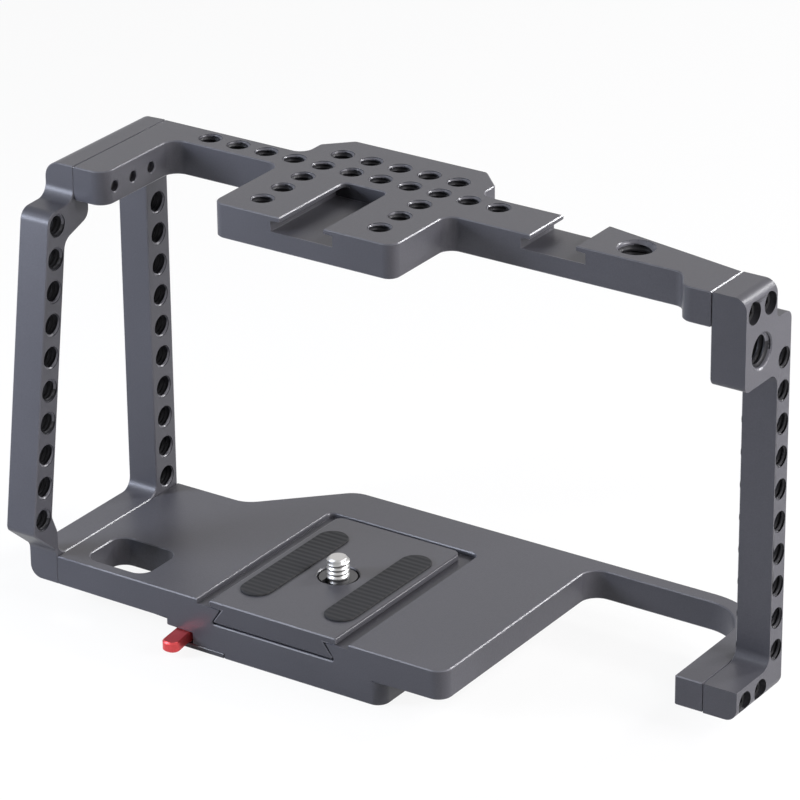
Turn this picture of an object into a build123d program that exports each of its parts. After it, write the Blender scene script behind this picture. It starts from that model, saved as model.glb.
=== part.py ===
from build123d import *
import math
import os

os.makedirs("parts", exist_ok=True)

# Camera cage: four machined plates screwed together around a compact cinema camera, with a
# quick-release plate that slides in a dovetail channel of the base.
# Millimetres.  +Z up, +Y towards the lens, +X to the right of the operator behind the camera.
# The origin lies under the cage, in the middle of the box around it.

# ---------------------------------------------------------------- driving sizes
# Overall
cage_width = 202.0
cage_height = 123.6
rear_reach = 43.0
front_reach = 43.0
frame_front = 20.8
frame_rear = -20.0
base_rear = -33.8

# Plate thicknesses
left_plate = 9.5
right_plate = 10.0
top_plate_t = 9.5
base_plate_t = 8.4
boss_drop = 7.1

# Lens axis and quick-release axis
lens_x = -18.6
release_x = -20.75

# Threads, as bored: 1/4-20 and 3/8-16 at their minor diameter
quarter_bore = 5.2
three_eighths_bore = 7.94
three_eighths_mouth = 10.2
hole_pitch = 9.1

# Top plate
arm_width = 10.0
arm_corner = 4.1
left_bar_width = 10.4
right_bar_width = 15.9
stem_width = 56.0
stem_fillet = 3.6
stem_corner = 3.3
nose_width = 55.0
nose_length = 14.3
nose_chamfer = 6.8
nose_fillet = 3.6
nose_corner = 1.5
row_inset = 4.7
row_start = 18.3
row_holes = 11
nose_first_hole = 4
nose_holes = 5
stem_rows = 3
block_start = 42.0
block_front_drop = 7.4
block_rear_y = -2.1
block_step_x = 8.0
block_step_run = 4.2
block_step_radius = 3.8
block_front_corner = 1.0
block_hole_x = 30.0
block_hole_y = 12.4

# Cold shoes
shoe_opening = 13.6
shoe_undercut = 19.2
shoe_floor = 4.3
shoe_lip = 1.4
shoe_corner = 1.8
rear_shoe_end = 11.4
cross_shoe_x = 49.9

# Left bracket, seen from the side
shoulder_drop = 9.7
column_head_y = -30.8
column_head_drop = 10.1
heel_y = -43.155
heel_rise = 9.6
heel_foot_rise = 1.5
column_band = 7.75
window_rear = -13.9
window_step_drop = 6.5
window_column_drop = 10.0
window_heel_rise = 12.3
window_foot_rise = 7.3
window_foot_y = -33.0
window_corner = 3.5
left_column_width = 9.6
left_hole_drop = 14.1
column_holes = 10
left_top_radius = 4.7
left_bottom_radius = 3.6
shoulder_radius = 3.7
column_head_radius = 3.5
heel_radius = 2.2
heel_foot_radius = 3.0
left_foot_corner = 2.5
window_step_radius = 0.5
window_heel_radius = 2.5

# Right bracket, seen from the side
head_drop = 25.3
head_rear = -1.9
column_width = 6.4
column_top_drop = 10.2
column_fillet = 3.6
column_corner = 2.7
column_notch = 1.5
head_corner = 2.1
foot_corner = 3.6
foot_rear = -2.2
right_edge_radius = 3.4
column_first_hole_drop = 22.35
side_hole_y = 6.2
side_hole_drop = 16.5

# Base plate
base_right_gap = 58.1
base_corner = 4.1
front_bar_width = 4.6
arm_leg = 8.3
arm_leg_fillet = 13.2
base_front_corner = 22.2
base_inner_corner = 5.0
arm_toe = 0.6
nose_bend = 8.0
nose_start = 45.5
nose_slope = 22.2
side_window_gap = 6.5
side_window_width = 20.0
side_window_rear = 3.5
side_window_length = 15.9
side_window_corner = 4.0

# Block under the base plate
boss_width = 69.2
boss_shift = 0.05
boss_length = 67.8
boss_corner = 3.7
boss_edge = 0.5
access_width = 24.0
access_length = 30.0
access_corner = 4.0
tripod_rear_inset = 7.8
tripod_front_y = 20.0
tripod_half_spacing = 9.1

# Quick-release plate and its channel
release_length = 60.0
release_proud = 0.6
flange_width = 40.8
flange_t = 1.9
flange_round = 0.8
neck_width = 32.5
dovetail_width = 38.6
dovetail_h = 4.35
recess_width = 48.4
recess_depth = 1.4
recess_front_gap = 2.0
recess_corner = 2.0
dovetail_edge = 0.3
channel_root = 0.6
flank_gap = 0.6
floor_gap = 0.55
end_gap = 0.3
pad_width = 9.0
pad_length = 44.0
pad_sink = 0.8
pad_proud = 0.5
pad_spread = 13.5
release_corner = 3.0

# Camera screw, its ring and its clip
screw_y = -3.0
screw_thread_d = 6.25
screw_hole_d = 6.8
screw_reach = 5.5
screw_point = 0.8
screw_head_d = 13.0
screw_head_h = 3.0
screw_slot_w = 1.6
screw_slot_depth = 1.2
screw_pocket_d = 21.4
screw_pocket_depth = 3.7
screw_bearing_gap = 0.1
ring_wire = 1.6
ring_radius = 8.0
ring_reach = 10.2
ring_grip = 0.3
ring_pin_gap = 0.15
ring_hole_depth = 1.8
ring_play = 0.06
ring_height = 1.2
clip_d = 10.4
clip_t = 0.9
clip_pocket_d = 11.4
clip_pocket_depth = 1.4
clip_groove_d = 5.2
clip_play = 0.05
clip_lift = 0.1
clip_end_play = 0.1
clip_mouth = 4.4

# Lock lever, eccentric and jaw
pocket_height = 4.95
cover_t = 1.5
cover_width = 14.9
cover_right = -36.6
cover_front = 11.0
cover_gap = 0.25
cover_corner = 0.3
washer_t = 0.3
washer_d = 10.0
washer_play = 0.1
lever_t = 3.0
lever_width = 5.2
lever_hub = 6.0
lever_elbow_y = -33.5
lever_elbow_x = -50.1
lever_tip_x = -49.3
lever_tip_y = -42.1
lever_tip_run = 2.34
lever_elbow_radius = 3.0
lever_tip_radius = 2.3
lever_hub_gap = 0.5
lever_room_inset = 1.0
lever_wall_gap = 0.8
lever_swing = 50.0
pivot_x = -46.0
pivot_y = -19.5
pivot_d = 4.0
pivot_play = 0.04
pivot_grip = 5.4
eccentric_d = 9.0
eccentric_throw = 0.8
eccentric_h = 3.3
jaw_play = 0.05
jaw_web = 2.0
jaw_slot_extra = 0.6
jaw_strap_t = 3.0
jaw_strap_lap = 0.5
jaw_corner = 0.5
jaw_slot_corner = 3.0
jaw_lift = 0.2
jaw_head_gap = 1.5
jaw_head_length = 16.0
jaw_head_back = 4.9
jaw_head_top = 13.0
jaw_toe = -40.9
jaw_guide_gap = 0.15
jaw_flank_gap = 0.06
jaw_flank_room = 0.1
jaw_floor_gap = 0.1
jaw_top_gap = 0.2
jaw_travel_room = 0.9

# Fasteners
screw_d = 3.0
head_d = 5.5
head_h = 3.0
counterbore_d = 6.0
head_recess = 1.6
clearance_d = 3.4
thread_gap = 0.03
hex_socket = 2.5
hex_depth = 1.6
screw_spacing = 7.9
left_screw_rear_inset = 5.0
right_screw_rear_inset = 4.0
base_left_screw_rear = -9.0
base_left_screw_front = 11.0
joint_thread_length = 8.5
arm_bore_length = 11.0
foot_thread_length = 5.8
bore_end_gap = 0.3
top_screw_drop = 4.95
base_screw_rise = 3.9
cover_screw_d = 2.5
cover_head_d = 5.0
cover_head_h = 1.3
cover_screw_length = 5.5
cover_screw_inset = 3.9
cover_hex = 1.5
cover_hex_depth = 1.1
cover_screw_gap = 0.15
cover_head_gap = 0.1
cover_head_sink = 0.1

# Cutters run past the faces they open, and merged bodies into each other, by this much
over = 1.0
# Pockets that share a wall lap by this much, and a rounded end keeps this much flat
sliver = 0.01

# ---------------------------------------------------------------- places that follow from them
left_outer = -cage_width / 2
right_outer = cage_width / 2
seam_left = left_outer + left_plate
seam_right = right_outer - right_plate
top_under = cage_height - top_plate_t
base_under = boss_drop
base_top = base_under + base_plate_t
arm_edge = seam_left + arm_width
row_x = seam_left + row_start
row_y = frame_front - row_inset
bar_rear_left = frame_front - left_bar_width
bar_rear_right = frame_front - right_bar_width
stem_left = lens_x - stem_width / 2
stem_right = lens_x + stem_width / 2
nose_left = lens_x - nose_width / 2
nose_right = lens_x + nose_width / 2
cross_x = seam_right - cross_shoe_x
block_x = seam_right - block_start
block_front = frame_front - block_front_drop
hole_block_x = seam_right - block_hole_x
top_screw_z = cage_height - top_screw_drop
base_screw_z = base_under + base_screw_rise
base_right = seam_right - base_right_gap
bar_rear = front_reach - front_bar_width
arm_left = seam_right - arm_leg
left_column_rear = frame_front - left_column_width
right_column_rear = frame_front - column_width
boss_x = release_x + boss_shift
boss_left = boss_x - boss_width / 2
release_top = base_top + release_proud
flange_under = release_top - flange_t
release_under = flange_under - dovetail_h
channel_floor = release_under - floor_gap
recess_floor = base_top - recess_depth
channel_end = base_rear + release_length + end_gap
flank_slope = (dovetail_width - neck_width) / 2 / dovetail_h
eccentric_start = math.radians(-90 + lever_swing / 2)
disc_x = pivot_x + eccentric_throw * math.cos(eccentric_start)
disc_y = pivot_y + eccentric_throw * math.sin(eccentric_start)
lever_under = cover_t + washer_t
lever_top = lever_under + lever_t
strap_under = lever_top + jaw_lift
strap_top = strap_under + jaw_strap_t
strap_pocket_top = lever_top + eccentric_h + jaw_lift
jaw_head_rear = pivot_y + lever_hub + jaw_head_gap
jaw_head_front = jaw_head_rear + jaw_head_length
screw_x = release_x
screw_seat_z = release_under + screw_pocket_depth - screw_bearing_gap
cover_left = cover_right - cover_width


# ---------------------------------------------------------------- helpers
right_way = (1, 0, 0)
left_way = (-1, 0, 0)
up_way = (0, 0, 1)
down_way = (0, 0, -1)


def corner_face(corners, plane=Plane.XY):
    """Closed outline from (a, b, corner radius) triples, as a face on the plane."""
    points = [(a, b) for a, b, _ in corners]
    radii = [r for _, _, r in corners]
    return plane * make_face(FilletPolyline(*points, radius=radii, close=True))


def prism(corners, start, end, plane=Plane.XY):
    """The outline, extruded along the plane's normal from start to end."""
    return extrude(corner_face(corners, plane.offset(start)), end - start, dir=plane.z_dir)


side_plane = Plane(origin=(0, 0, 0), x_dir=(0, 1, 0), z_dir=(1, 0, 0))
end_plane = Plane(origin=(0, 0, 0), x_dir=(1, 0, 0), z_dir=(0, -1, 0))


def slab(x0, x1, y0, y1, z0, z1, radius=0):
    """Rectangular block with its four upright edges rounded."""
    corners = [(x0, y0, radius), (x1, y0, radius), (x1, y1, radius), (x0, y1, radius)]
    return prism(corners, z0, z1)


def turned(profile, at, axis):
    """Solid of revolution: (radius, height) points, turned about the axis through a point."""
    face = Plane.XZ * make_face(Polyline(*profile, close=True))
    return Plane(origin=at, z_dir=axis) * revolve(face, Axis.Z)


def rod(diameter, length, at, axis):
    """Plain cylinder that starts at a point and runs along the axis."""
    radius = diameter / 2
    return turned([(0, 0), (radius, 0), (radius, length), (0, length)], at, axis)


def quarter_hole(depth, at, axis):
    """Cutter for a 1/4-20 through hole: at lies on the face, axis points into the plate."""
    return rod(quarter_bore, depth + 2 * over, Vector(at) - Vector(axis) * over, axis)


def three_eighths_hole(depth, at, axis, mouth=three_eighths_mouth):
    """Cutter for a 3/8-16 through hole with a 45 degree mouth where it enters the plate."""
    r = three_eighths_bore / 2
    big = mouth / 2 + over
    profile = [(0, -over), (big, -over), (r, big - over - r), (r, depth + over), (0, depth + over)]
    return turned(profile, at, axis)


def cap_screw(at, axis, thread_length, plate):
    """Socket screw from a plate's outer face: at lies on the face, axis points into it."""
    hex_r = hex_socket / math.sqrt(3)
    seat = head_recess + head_h
    tip = plate + thread_length
    r = screw_d / 2
    big = head_d / 2
    profile = [(0, head_recess), (big, head_recess), (big, seat), (r, seat), (r, tip), (0, tip)]
    body = turned(profile, at, axis)
    hexagon = Plane(origin=at, z_dir=axis).offset(head_recess) * RegularPolygon(hex_r, 6)
    return body - extrude(hexagon, hex_depth, dir=Vector(axis))


def screw_seat(at, axis, plate):
    """Cutter in the outer plate: counterbore for the head and clearance for the shank."""
    seat = head_recess + head_h
    mouth = Vector(at) - Vector(axis) * over
    return rod(counterbore_d, seat + over, mouth, axis) + rod(clearance_d, plate + over, at, axis)


def screw_thread(at, axis, plate, thread_length):
    """Cutter in the inner plate for the threaded end of a cap screw."""
    start = Vector(at) + Vector(axis) * (plate - over)
    return rod(screw_d + 2 * thread_gap, over + thread_length + bore_end_gap, start, axis)


# ---------------------------------------------------------------- where the fasteners sit
top_left_at = [
    (left_outer, frame_rear + left_screw_rear_inset + i * screw_spacing, top_screw_z)
    for i in range(3)
]
base_left_at = [(left_outer, y, base_screw_z) for y in (base_left_screw_rear, base_left_screw_front)]
right_screw_y = [head_rear + right_screw_rear_inset + i * screw_spacing for i in range(2)]
top_right_at = [(right_outer, y, top_screw_z) for y in right_screw_y]
base_right_at = [(right_outer, y, base_screw_z) for y in right_screw_y]


# ---------------------------------------------------------------- frame plates
def shoe_cut(x, y0, y1, corner):
    """T-shaped slot of a cold shoe along Y, from y0 to y1, milled down from the top face."""
    floor = cage_height - shoe_floor
    opening = slab(x - shoe_opening / 2, x + shoe_opening / 2, y0, y1, floor, cage_height + over, corner)
    half = shoe_undercut / 2
    under = slab(x - half, x + half, y0, y1, floor, cage_height - shoe_lip)
    return opening + under


def make_top_plate():
    outline = [
        (seam_left, frame_rear, 0),
        (arm_edge, frame_rear, arm_corner),
        (arm_edge, bar_rear_left, arm_corner),
        (stem_left, bar_rear_left, stem_fillet),
        (stem_left, frame_rear, stem_corner),
        (stem_right, frame_rear, stem_corner),
        (stem_right, bar_rear_right, stem_fillet),
        (seam_right - block_step_x - block_step_run, bar_rear_right, block_step_radius),
        (seam_right - block_step_x, block_rear_y, block_step_radius),
        (seam_right, block_rear_y, 0),
        (seam_right, block_front, 0),
        (block_x, frame_front, block_front_corner),
        (nose_right, frame_front, nose_fillet),
        (nose_right, frame_front + nose_length - nose_chamfer, nose_corner),
        (nose_right - nose_chamfer, frame_front + nose_length, nose_corner),
        (nose_left + nose_chamfer, frame_front + nose_length, nose_corner),
        (nose_left, frame_front + nose_length - nose_chamfer, nose_corner),
        (nose_left, frame_front, nose_fillet),
        (seam_left, frame_front, 0),
    ]
    plate = prism(outline, top_under, cage_height)
    rear_shoe_front = frame_front - rear_shoe_end
    plate -= shoe_cut(lens_x, frame_rear - 2 * shoe_corner, rear_shoe_front, shoe_corner)
    plate -= shoe_cut(cross_x, bar_rear_right - over, frame_front + over, 0)
    spots = [(i, 0) for i in range(row_holes)]
    spots += [(nose_first_hole + i, 1) for i in range(nose_holes)]
    nose_ends = (nose_first_hole, nose_first_hole + nose_holes - 1)
    spots += [(i, -j) for i in nose_ends for j in range(1, stem_rows + 1)]
    for i, j in spots:
        at = (row_x + i * hole_pitch, row_y + j * hole_pitch, top_under)
        plate -= quarter_hole(top_plate_t, at, up_way)
    big_at = (hole_block_x, block_hole_y, cage_height)
    plate -= three_eighths_hole(top_plate_t, big_at, down_way)
    for at in top_left_at:
        plate -= screw_thread(at, right_way, left_plate, arm_bore_length)
    for at in top_right_at:
        plate -= screw_thread(at, left_way, right_plate, joint_thread_length)
    return plate


def band_y(z):
    """Outer edge of the left bracket's slanted rear column at a height."""
    head_z = cage_height - column_head_drop
    heel_z = base_top + heel_rise
    return heel_y + (column_head_y - heel_y) * (z - heel_z) / (head_z - heel_z)


def rounded_edge_body(x_round, x_flat, y0, y1, bottom_radius, top_radius):
    """Envelope of a bracket: full height, its outer top and bottom edges rounded."""
    corners = [
        (x_flat, base_under, 0),
        (x_round, base_under, bottom_radius),
        (x_round, cage_height, top_radius),
        (x_flat, cage_height, 0),
    ]
    return prism(corners, -y1, -y0, end_plane)


def make_left_bracket():
    head_z = cage_height - column_head_drop
    heel_z = base_top + heel_rise
    outline = [
        (frame_front, cage_height, 0),
        (frame_rear, cage_height, 0),
        (frame_rear, cage_height - shoulder_drop, shoulder_radius),
        (column_head_y, head_z, column_head_radius),
        (heel_y, heel_z, heel_radius),
        (base_rear, base_top + heel_foot_rise, heel_foot_radius),
        (base_rear, base_under, 0),
        (frame_front, base_under, left_foot_corner),
    ]
    column_z = cage_height - top_plate_t - window_column_drop
    heel_in_z = base_top + window_heel_rise
    window = [
        (window_rear, top_under, window_step_radius),
        (window_rear, top_under - window_step_drop, window_corner),
        (band_y(column_z) + column_band, column_z, window_corner),
        (band_y(heel_in_z) + column_band, heel_in_z, window_heel_radius),
        (window_foot_y, base_top + window_foot_rise, window_heel_radius),
        (window_foot_y, base_top, window_corner),
        (left_column_rear, base_top, window_corner),
        (left_column_rear, top_under, window_corner),
    ]
    plate = prism(outline, left_outer, seam_left, side_plane)
    plate -= prism(window, left_outer - over, seam_left + over, side_plane)
    reach = -rear_reach - over
    radii = (left_bottom_radius, left_top_radius)
    plate &= rounded_edge_body(left_outer, seam_left, reach, frame_front, *radii)
    first_z = cage_height - left_hole_drop
    lean = (column_head_y - heel_y) / (head_z - heel_z)
    step_z = hole_pitch / math.hypot(1, lean)
    front_y = (left_column_rear + frame_front) / 2
    for k in range(column_holes):
        z = first_z - k * step_z
        plate -= quarter_hole(left_plate, (left_outer, band_y(z) + column_band / 2, z), right_way)
        z = cage_height - column_first_hole_drop - k * hole_pitch
        plate -= quarter_hole(left_plate, (left_outer, front_y, z), right_way)
    for at in top_left_at + base_left_at:
        plate -= screw_seat(at, right_way, left_plate)
    return plate


def make_right_bracket():
    outline = [
        (head_rear, cage_height, 0),
        (head_rear, cage_height - head_drop, head_corner),
        (right_column_rear, cage_height - head_drop, column_fillet),
        (right_column_rear, base_top, column_fillet),
        (foot_rear, base_top, 0),
        (foot_rear, base_under, 0),
        (frame_front, base_under, foot_corner),
        (frame_front, cage_height - column_top_drop, column_corner),
        (block_front, cage_height - column_top_drop, column_notch),
        (block_front, cage_height, 0),
    ]
    plate = prism(outline, seam_right, right_outer, side_plane)
    reach = min(head_rear, foot_rear) - over
    radii = (right_edge_radius, right_edge_radius)
    plate &= rounded_edge_body(right_outer, seam_right, reach, frame_front, *radii)
    mid_y = (right_column_rear + frame_front) / 2
    for k in range(column_holes):
        z = cage_height - column_first_hole_drop - k * hole_pitch
        plate -= quarter_hole(right_plate, (seam_right, mid_y, z), right_way)
    big_at = (right_outer, side_hole_y, cage_height - side_hole_drop)
    plate -= three_eighths_hole(right_plate, big_at, left_way)
    for at in top_right_at + base_right_at:
        plate -= screw_seat(at, left_way, right_plate)
    return plate


# ---------------------------------------------------------------- base and quick release
def lever_line(offset):
    """Ends of a line beside the lever's arm, from its hub to its elbow."""
    pivot = Vector(pivot_x, pivot_y)
    elbow = Vector(lever_elbow_x, lever_elbow_y)
    run = elbow - pivot
    side = Vector(-run.Y, run.X).normalized() * offset
    return pivot + side, elbow + side


def jaw_flank_x(z, gap):
    """Left flank of the quick-release plate's dovetail at a height, moved left by a gap."""
    return release_x - dovetail_width / 2 + (z - release_under) * flank_slope - gap


def jaw_head_outline(back, toe_x, gap, bottom, top):
    """Section of the jaw's head, with its slanted flank a gap away from the dovetail."""
    toe_z = release_under + (toe_x - jaw_flank_x(release_under, gap)) / flank_slope
    return [
        (pivot_x - back, bottom, 0),
        (toe_x, bottom, 0),
        (toe_x, toe_z, 0),
        (jaw_flank_x(top, gap), top, 0),
        (pivot_x - back, top, 0),
    ]


def make_base_plate():
    outline = [
        (seam_left, base_rear, 0),
        (base_right, base_rear, base_corner),
        (base_right, bar_rear, base_inner_corner),
        (arm_left, bar_rear, arm_leg_fillet),
        (arm_left, foot_rear, arm_toe),
        (seam_right, foot_rear, 0),
        (seam_right, front_reach, base_front_corner),
        (seam_left + nose_start, front_reach, nose_bend),
        (seam_left + nose_start - nose_slope, frame_front, nose_bend),
        (seam_left, frame_front, 0),
    ]
    plate = prism(outline, base_under, base_top)
    boss_right = boss_left + boss_width
    boss_front = base_rear + boss_length
    plate += prism(
        [
            (boss_left, base_rear, boss_edge),
            (boss_right, base_rear, boss_corner),
            (boss_right, boss_front, boss_corner),
            (boss_left, boss_front, boss_corner),
        ],
        0,
        base_under,
    )
    window_x = seam_left + side_window_gap
    window_y = base_rear + side_window_rear
    plate -= slab(
        window_x,
        window_x + side_window_width,
        window_y,
        window_y + side_window_length,
        base_under - over,
        base_top + over,
        side_window_corner,
    )
    # dovetail channel and the recess for the flange
    wide = dovetail_width / 2 + flank_gap
    narrow = neck_width / 2 + flank_gap - flank_slope * over
    channel = [
        (release_x - wide, channel_floor, channel_root),
        (release_x + wide, channel_floor, channel_root),
        (release_x + narrow, flange_under + over, 0),
        (release_x - narrow, flange_under + over, 0),
    ]
    plate -= prism(channel, -channel_end, -base_rear + over, end_plane)
    plate -= slab(
        release_x - recess_width / 2,
        release_x + recess_width / 2,
        base_rear - 2 * recess_corner,
        channel_end + recess_front_gap,
        recess_floor,
        base_top + over,
        recess_corner,
    )
    # window under the camera screw
    plate -= slab(
        screw_x - access_width / 2,
        screw_x + access_width / 2,
        screw_y - access_length / 2,
        screw_y + access_length / 2,
        -over,
        channel_floor + over,
        access_corner,
    )
    # tripod threads
    for y in (base_rear + tripod_rear_inset, tripod_front_y):
        plate -= rod(three_eighths_bore, channel_floor + 2 * over, (screw_x, y, -over), up_way)
        for side in (-1, 1):
            at = (screw_x + side * tripod_half_spacing, y, 0)
            plate -= quarter_hole(channel_floor, at, up_way)
    plate -= make_lock_pockets()
    for at in base_left_at:
        plate -= screw_thread(at, right_way, left_plate, foot_thread_length)
    for at in base_right_at:
        plate -= screw_thread(at, left_way, right_plate, foot_thread_length)
    return plate


def make_lock_pockets():
    """Cutter for the lever, the jaw, the pivot pin and the cover in the base plate."""
    wall_gap = lever_width / 2 + lever_wall_gap
    near, far = lever_line(wall_gap)
    out_x = boss_left - over
    out_y = base_rear - over
    room_front = pivot_y - lever_room_inset
    run = far - near
    exit_point = near + run * ((out_y - near.Y) / run.Y)
    lever_room = [
        (out_x, out_y, 0),
        (exit_point.X, out_y, 0),
        (near.X, near.Y, 0),
        (pivot_x - lever_hub, pivot_y, 0),
        (out_x, room_front, 0),
    ]
    cut = prism(lever_room, cover_t, pocket_height)
    hub_room = 2 * (lever_hub + lever_hub_gap)
    cut += rod(hub_room, pocket_height - cover_t, (pivot_x, pivot_y, cover_t), up_way)
    left_room = [
        (out_x, out_y, 0),
        (cover_left, out_y, 0),
        (cover_left, room_front, 0),
        (out_x, room_front, 0),
    ]
    cut += prism(left_room, -over, pocket_height)
    cut += slab(
        cover_left - cover_gap,
        cover_right + cover_gap,
        out_y,
        cover_front + cover_gap,
        -over,
        cover_t + sliver,
    )
    # room for the jaw's strap and head
    slot_x = eccentric_d / 2 + jaw_play
    strap_left = disc_x - slot_x - jaw_web - jaw_travel_room
    strap_right = disc_x + slot_x + jaw_web + jaw_guide_gap
    strap_rear = disc_y - eccentric_d / 2 - jaw_slot_extra - jaw_web - jaw_guide_gap
    strap_front = jaw_head_rear + over
    cut += slab(
        strap_left, strap_right, strap_rear, strap_front, cover_t, strap_pocket_top, jaw_corner
    )
    head = jaw_head_outline(
        jaw_head_back + jaw_travel_room,
        jaw_toe + jaw_guide_gap,
        -jaw_flank_room,
        cover_t - sliver,
        jaw_head_top + jaw_top_gap,
    )
    cut += prism(head, -jaw_head_front - jaw_guide_gap, -jaw_head_rear + jaw_guide_gap, end_plane)
    # pivot pin and cover screws
    pin_start = (pivot_x, pivot_y, strap_pocket_top - sliver)
    cut += rod(pivot_d + 2 * thread_gap, pivot_grip, pin_start, up_way)
    for at in cover_screw_at:
        bore = cover_screw_d + 2 * thread_gap
        cut += rod(bore, cover_screw_length + bore_end_gap, (*at, 0), up_way)
    return cut


cover_screw_at = [
    (cover_right - cover_screw_inset, base_rear + cover_screw_inset),
    (cover_left + cover_screw_inset, cover_front - cover_screw_inset),
]


def make_release_plate():
    half = flange_width / 2
    section = [
        (-dovetail_width / 2, release_under, dovetail_edge),
        (dovetail_width / 2, release_under, dovetail_edge),
        (neck_width / 2, flange_under, 0),
        (half, flange_under, flange_round),
        (half, release_top, flange_round),
        (-half, release_top, flange_round),
        (-half, flange_under, flange_round),
        (-neck_width / 2, flange_under, 0),
    ]
    section = [(x + release_x, z, r) for x, z, r in section]
    front = base_rear + release_length
    plate = prism(section, -front, -base_rear, end_plane)
    envelope = slab(
        release_x - half,
        release_x + half,
        base_rear - release_corner,
        front,
        release_under,
        release_top,
        release_corner,
    )
    plate &= envelope
    for side in (-1, 1):
        plate -= pad_body(side, release_top + over)
    start = (screw_x, screw_y, release_under - over)
    plate -= rod(screw_hole_d, release_top - release_under + 2 * over, start, up_way)
    plate -= rod(screw_pocket_d, screw_pocket_depth + over, start, up_way)
    clip_floor = (screw_x, screw_y, release_top - clip_pocket_depth)
    plate -= rod(clip_pocket_d, clip_pocket_depth + over, clip_floor, up_way)
    return plate


def pad_body(side, top):
    """Body of one rubber pad, from the floor of its groove to a height."""
    x = release_x + side * pad_spread
    mid_y = base_rear + release_length / 2
    return slab(
        x - pad_width / 2,
        x + pad_width / 2,
        mid_y - pad_length / 2,
        mid_y + pad_length / 2,
        release_top - pad_sink,
        top,
        pad_width / 2 - sliver,
    )


def make_release_pad(side):
    return pad_body(side, release_top + pad_proud)


def make_camera_screw():
    seat = screw_seat_z
    head_r = screw_head_d / 2
    thread_r = screw_thread_d / 2
    groove_r = clip_groove_d / 2
    groove_z = release_top - clip_pocket_depth + clip_lift - seat
    groove_top = groove_z + clip_t + clip_end_play
    tip = release_top + screw_reach - seat
    profile = [
        (0, -screw_head_h),
        (head_r, -screw_head_h),
        (head_r, 0),
        (thread_r, 0),
        (thread_r, groove_z),
        (groove_r, groove_z),
        (groove_r, groove_top),
        (thread_r, groove_top),
        (thread_r, tip - screw_point),
        (thread_r - screw_point, tip),
        (0, tip),
    ]
    screw = turned(profile, (screw_x, screw_y, seat), up_way)
    bottom = seat - screw_head_h
    screw -= slab(
        screw_x - screw_slot_w / 2,
        screw_x + screw_slot_w / 2,
        screw_y - head_r - over,
        screw_y + head_r + over,
        bottom - over,
        bottom + screw_slot_depth,
    )
    for side in (-1, 1):
        start = (screw_x + side * (head_r + over), screw_y, bottom + ring_height)
        screw -= rod(ring_wire + 2 * ring_play, ring_hole_depth + over, start, (-side, 0, 0))
    return screw


def make_screw_ring():
    """Flat bail round the screw's head, hinged on two pins that enter the head's sides."""
    z = screw_seat_z - screw_head_h + ring_height
    half = ring_wire / 2
    reach = screw_y - ring_reach

    def loop(r, length, top, rise):
        bend = r - sliver
        corners = [
            (screw_x - r, screw_y + top, 0),
            (screw_x - r, length, bend),
            (screw_x + r, length, bend),
            (screw_x + r, screw_y + top, 0),
        ]
        return prism(corners, z - rise, z + rise)

    ring = loop(ring_radius + half, reach, half, half)
    ring -= loop(ring_radius - half, reach + ring_wire, over, half + over)
    for side in (-1, 1):
        start = (screw_x + side * (ring_radius - half + ring_grip), screw_y, z)
        pin = ring_radius - half + ring_grip - (screw_head_d / 2 - ring_hole_depth + ring_pin_gap)
        ring += rod(ring_wire, pin, start, (-side, 0, 0))
    return ring


def make_screw_clip():
    z = release_top - clip_pocket_depth + clip_lift + clip_end_play / 2
    ring = rod(clip_d, clip_t, (screw_x, screw_y, z), up_way)
    bore_start = (screw_x, screw_y, z - over)
    ring -= rod(clip_groove_d + 2 * clip_play, clip_t + 2 * over, bore_start, up_way)
    ring -= slab(
        screw_x - clip_mouth / 2,
        screw_x + clip_mouth / 2,
        screw_y - clip_d,
        screw_y,
        z - over,
        z + clip_t + over,
    )
    return ring


# ---------------------------------------------------------------- lock
def make_lock_lever():
    half = lever_width / 2
    hub = rod(2 * lever_hub, lever_t, (pivot_x, pivot_y, lever_under), up_way)
    right_a, right_b = lever_line(half)
    left_a, left_b = lever_line(-half)
    elbow = Vector(lever_elbow_x, lever_elbow_y)
    tip = Vector(lever_tip_x, lever_tip_y + half)
    run = (tip - elbow).normalized()
    side = Vector(-run.Y, run.X)
    end = tip + run * lever_tip_run
    tongue = [
        (right_a, 0),
        (right_b, lever_elbow_radius),
        (end + side * half, lever_tip_radius),
        (end - side * half, lever_tip_radius),
        (left_b, lever_elbow_radius),
        (left_a, 0),
    ]
    lever = hub + prism([(p.X, p.Y, r) for p, r in tongue], lever_under, lever_top)
    disc_at = (disc_x, disc_y, lever_top - over)
    lever += rod(eccentric_d, eccentric_h + over, disc_at, up_way)
    bore = pivot_d + 2 * pivot_play
    length = lever_t + eccentric_h + 2 * over
    return lever - rod(bore, length, (pivot_x, pivot_y, lever_under - over), up_way)


def make_lock_jaw():
    slot_x = eccentric_d / 2 + jaw_play
    slot_y = eccentric_d / 2 + jaw_slot_extra
    strap = slab(
        disc_x - slot_x - jaw_web,
        disc_x + slot_x + jaw_web,
        disc_y - slot_y - jaw_web,
        jaw_head_rear + jaw_strap_lap,
        strap_under,
        strap_top,
        jaw_corner,
    )
    strap -= slab(
        disc_x - slot_x,
        disc_x + slot_x,
        disc_y - slot_y,
        disc_y + slot_y,
        strap_under - over,
        strap_top + over,
        jaw_slot_corner,
    )
    bottom = cover_t + jaw_floor_gap
    head = jaw_head_outline(jaw_head_back, jaw_toe, jaw_flank_gap, bottom, jaw_head_top)
    return strap + prism(head, -jaw_head_front, -jaw_head_rear, end_plane)


def make_lever_cover():
    cover = slab(cover_left, cover_right, base_rear, cover_front, 0, cover_t, cover_corner)
    for x, y in cover_screw_at:
        cover -= countersunk_cut(x, y)
    return cover


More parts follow.
